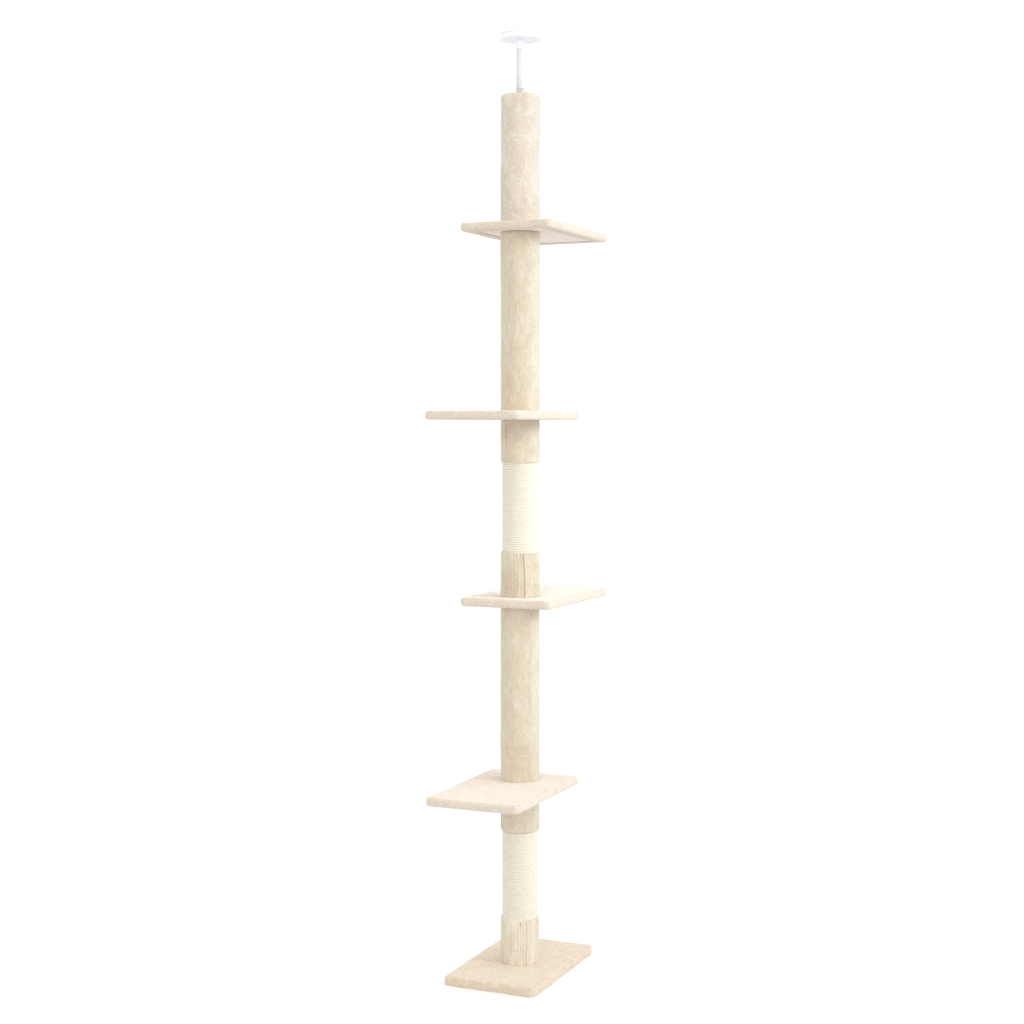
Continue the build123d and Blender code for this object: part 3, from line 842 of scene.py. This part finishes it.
def threaded_spindle():
    """M12 rod with its real helical thread."""
    low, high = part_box("threaded_spindle")
    around = THREAD_AROUND
    rows = int((high.z - low.z) / THREAD_PITCH * THREAD_ROWS_PER_PITCH)
    z = np.linspace(low.z, high.z, rows + 1)
    a = TAU * np.arange(around) / around
    z_grid, a_grid = np.meshgrid(z, a, indexing="ij")
    phase = np.mod(z_grid / THREAD_PITCH - a_grid / TAU, 1.0)
    depth = THREAD_DEPTH * np.clip(1 - np.abs(phase - 0.5) * 2 * 1.25 + 0.1, 0.0, 1.0)
    ends = np.minimum(z_grid - low.z, high.z - z_grid)
    radius = high.x - depth - THREAD_CHAMFER * (1 - smooth_step(ends, 0.0, 1.5 * MM))
    points = np.column_stack(
        [(radius * np.cos(a_grid)).ravel(), (radius * np.sin(a_grid)).ravel(), z_grid.ravel()]
    )
    quads = grid_quads(rows + 1, around)
    foot, head = np.full(around // 2, len(points)), np.full(around // 2, len(points) + 1)
    points = np.vstack([points, [0, 0, low.z], [0, 0, high.z]])
    c = np.arange(0, around, 2)
    c_next = (c + 2) % around
    last = rows * around
    caps = np.vstack(
        [
            np.column_stack([foot, c_next, c + 1, c]),
            np.column_stack([head, last + c, last + c + 1, last + c_next]),
        ]
    )
    piece = mesh_object("spindle_thread", points, np.vstack([quads, caps]))
    set_material(piece, MATERIALS["zinc_steel"])
    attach(piece, "root")
    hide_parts("threaded_spindle")


# ---------------------------------------------------------------- the object


def ring_of_staples(first, height):
    """(angle, height) of each staple of a ring."""
    return [(first + STAPLE_STEP * k, height) for k in range(STAPLES_ROUND)]


def build_object():
    """Every piece, each with its own seed."""
    finish_cad_nodes()
    board_cover("base_plush_cover", "root", 100, BASE_FOOT_EDGE, base_plush)
    for level in range(1, 5):
        body = f"platform_{level}"
        seed = 100 + 40 * level
        board_cover(f"{body}_plush_cover", body, seed, BOARD_EDGE, MATERIALS["plush"])
    rim = SLEEVE_RIM_UNDER_BOARD
    for post, lower_plush in ((1, ribbed_plush_partly_painted_light), (3, post_plush)):
        rope_low, rope_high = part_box(f"post_{post}_sisal_rope")
        staples = ring_of_staples(STAPLE_FIRST_LOW, rope_low.z - STAPLE_FROM_ROPE)
        post_sleeve(f"post_{post}_lower_plush", 300 + post, SLEEVE_RIM, lower_plush, staples)
        staples = ring_of_staples(STAPLE_FIRST_HIGH, rope_high.z + STAPLE_FROM_ROPE)
        post_sleeve(f"post_{post}_upper_plush", 330 + post, rim, post_plush, staples)
        sisal_winding(f"post_{post}_sisal_rope", 360 + post)
    post_sleeve("post_2_plush_cover", 302, rim, post_plush)
    post_sleeve("post_4_plush_cover", 304, rim, post_plush)
    post_sleeve("post_5_plush_cover", 305, SLEEVE_TOP_RIM, top_post_plush_painted_light)
    threaded_spindle()


# ---------------------------------------------------------------- stage, light and camera


def floor():
    """Large pale floor."""
    corners = ((-1, -1, 0), (1, -1, 0), (1, 1, 0), (-1, 1, 0))
    piece = mesh_object("floor", FLOOR_HALF_SIZE * np.array(corners), [(0, 1, 2, 3)])
    m = Nodes("pale_floor")
    soft = m.noise(m.place(), 3.0, 2.0)
    m.colour(m.ramp(soft, (0.3, (0.91, 0.91, 0.92)), (0.7, (0.93, 0.93, 0.94))))
    m.set(Roughness=0.12, Specular_IOR_Level=0.5)
    set_material(piece, m.material)


def area_light(name, azimuth, elevation, distance, size, power, colour, aim, spread):
    """Rectangular softbox that looks at aim. Azimuth is from the camera's own, to its right."""
    light = bpy.data.lights.new(name, "AREA")
    light.shape = "RECTANGLE"
    light.size, light.size_y = size
    light.energy = power
    light.color = colour
    light.spread = math.radians(spread)
    lamp = bpy.data.objects.new(name, light)
    bpy.context.scene.collection.objects.link(lamp)
    a = CAMERA_AZIMUTH + math.radians(azimuth)
    e = math.radians(elevation)
    away = Vector((math.sin(a) * math.cos(e), -math.cos(a) * math.cos(e), math.sin(e)))
    lamp.location = aim + away * distance
    lamp.rotation_mode = "QUATERNION"
    lamp.rotation_quaternion = away.to_track_quat("Z", "Y")


def studio():
    """Even white surroundings, with a bluish softbox from the right and neutral ones in front."""
    world = bpy.data.worlds.new("studio")
    world.use_nodes = True
    background = world.node_tree.nodes["Background"]
    background.inputs["Color"].default_value = (1.0, 1.0, 1.0, 1.0)
    background.inputs["Strength"].default_value = WORLD_STRENGTH
    bpy.context.scene.world = world
    middle = Vector((0, 0, 1.28))
    low = Vector((0, 0, 0.2))
    area_light(
        "key", azimuth=60, elevation=23, distance=5.0, size=(1.4, 1.6),
        power=8.2, colour=(0.95, 0.98, 1.0), aim=middle, spread=46,
    )
    area_light(
        "rim", azimuth=104, elevation=12, distance=5.0, size=(1.0, 1.6),
        power=6.2, colour=(0.47, 0.73, 1.0), aim=middle, spread=46,
    )
    area_light(
        "front", azimuth=-12, elevation=12, distance=6.0, size=(1.0, 1.2),
        power=5.0, colour=(1.0, 0.99, 0.97), aim=middle, spread=60,
    )
    area_light(
        "low_fill", azimuth=12, elevation=40, distance=3.0, size=(1.4, 0.6),
        power=0.4, colour=(1.0, 0.99, 0.97), aim=low, spread=50,
    )
    bpy.context.scene.view_settings.view_transform = "Standard"
    bpy.context.scene.view_settings.look = "None"


def camera():
    """Camera a little to the right of the front, looking slightly down."""
    data = bpy.data.cameras.new("camera")
    data.sensor_width = 36.0
    data.lens = CAMERA_LENS
    cam = bpy.data.objects.new("camera", data)
    bpy.context.scene.collection.objects.link(cam)
    cam.location = (
        CAMERA_DISTANCE * math.sin(CAMERA_AZIMUTH),
        -CAMERA_DISTANCE * math.cos(CAMERA_AZIMUTH),
        CAMERA_HEIGHT,
    )
    cam.rotation_euler = (math.pi / 2 - CAMERA_DOWN, 0.0, CAMERA_AZIMUTH + CAMERA_PAN_LEFT)
    bpy.context.scene.camera = cam


camera()
studio()
floor()
build_object()
